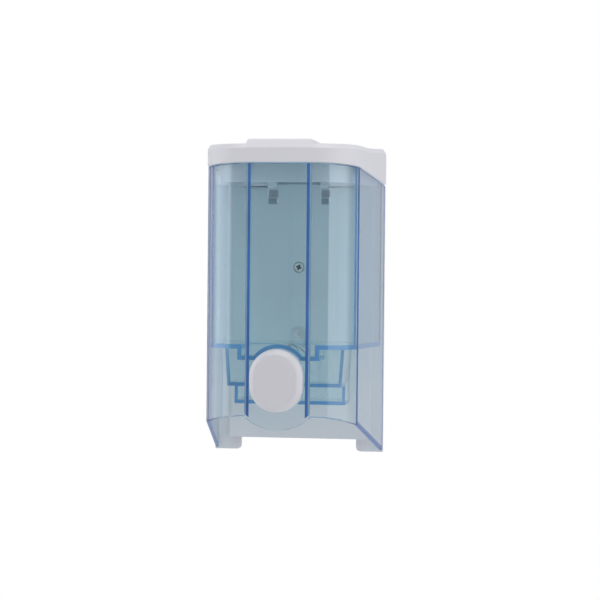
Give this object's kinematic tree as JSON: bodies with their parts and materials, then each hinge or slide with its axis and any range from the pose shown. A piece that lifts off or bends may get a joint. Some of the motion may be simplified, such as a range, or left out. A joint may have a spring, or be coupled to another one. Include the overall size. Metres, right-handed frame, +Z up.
{
  "type": "wall mounted soap dispenser",
  "caption": "Refillable wall mounted liquid soap dispenser with a clear blue cover over a tank, a hinged white lid, a push button pump and a white back plate.",
  "frame": {"origin": "point on the wall plane and the centreline, on the back plate's cross rib, 100 mm above the bottom of its feet", "axes": "+X to the right seen from the front, +Y into the wall, +Z up"},
  "size_m": [0.1156, 0.104, 0.205],
  "materials": {
    "clear_blue": "gloss",
    "white_plastic": "satin",
    "plate_plastic": "satin",
    "pump_plastic": "satin",
    "seal_rubber": "matte",
    "steel": "satin"
  },
  "bodies": {
    "housing": {"back_plate": "plate_plastic", "wall_screw": "steel", "front_cover": "clear_blue", "tank": "clear_blue", "hinge_pin": "steel", "return_spring": "steel", "pump_barrel": "pump_plastic", "barrel_cap": "pump_plastic", "pump_gasket": "seal_rubber", "pump_nut": "pump_plastic", "suction_elbow": "pump_plastic", "suction_strainer": "pump_plastic", "outlet_nozzle": "pump_plastic", "spout_ring": "seal_rubber", "outlet_valve": "seal_rubber", "nozzle_cap": "pump_plastic"},
    "lid": {"lid": "white_plastic"},
    "button": {"push_button": "white_plastic", "piston": "pump_plastic", "piston_seal": "seal_rubber"},
    "valve_ball": {"inlet_ball": "steel"}
  },
  "joints": [
    {"name": "lid_hinge", "type": "hinge", "parent": "housing", "child": "lid", "pos_m": [0, -0.003, 0.1013], "axis": [-1, 0, 0], "range_deg": [0, 80]},
    {"name": "button_push", "type": "slide", "parent": "housing", "child": "button", "axis": [0, 1, 0], "range_m": [0, 0.009], "stiffness_N_per_m": 500, "springref_m": -0.006, "deforming": ["return_spring"]},
    {"name": "ball_lift", "type": "slide", "parent": "housing", "child": "valve_ball", "axis": [0, 0, 1], "range_m": [0, 0.0025]}
  ]
}
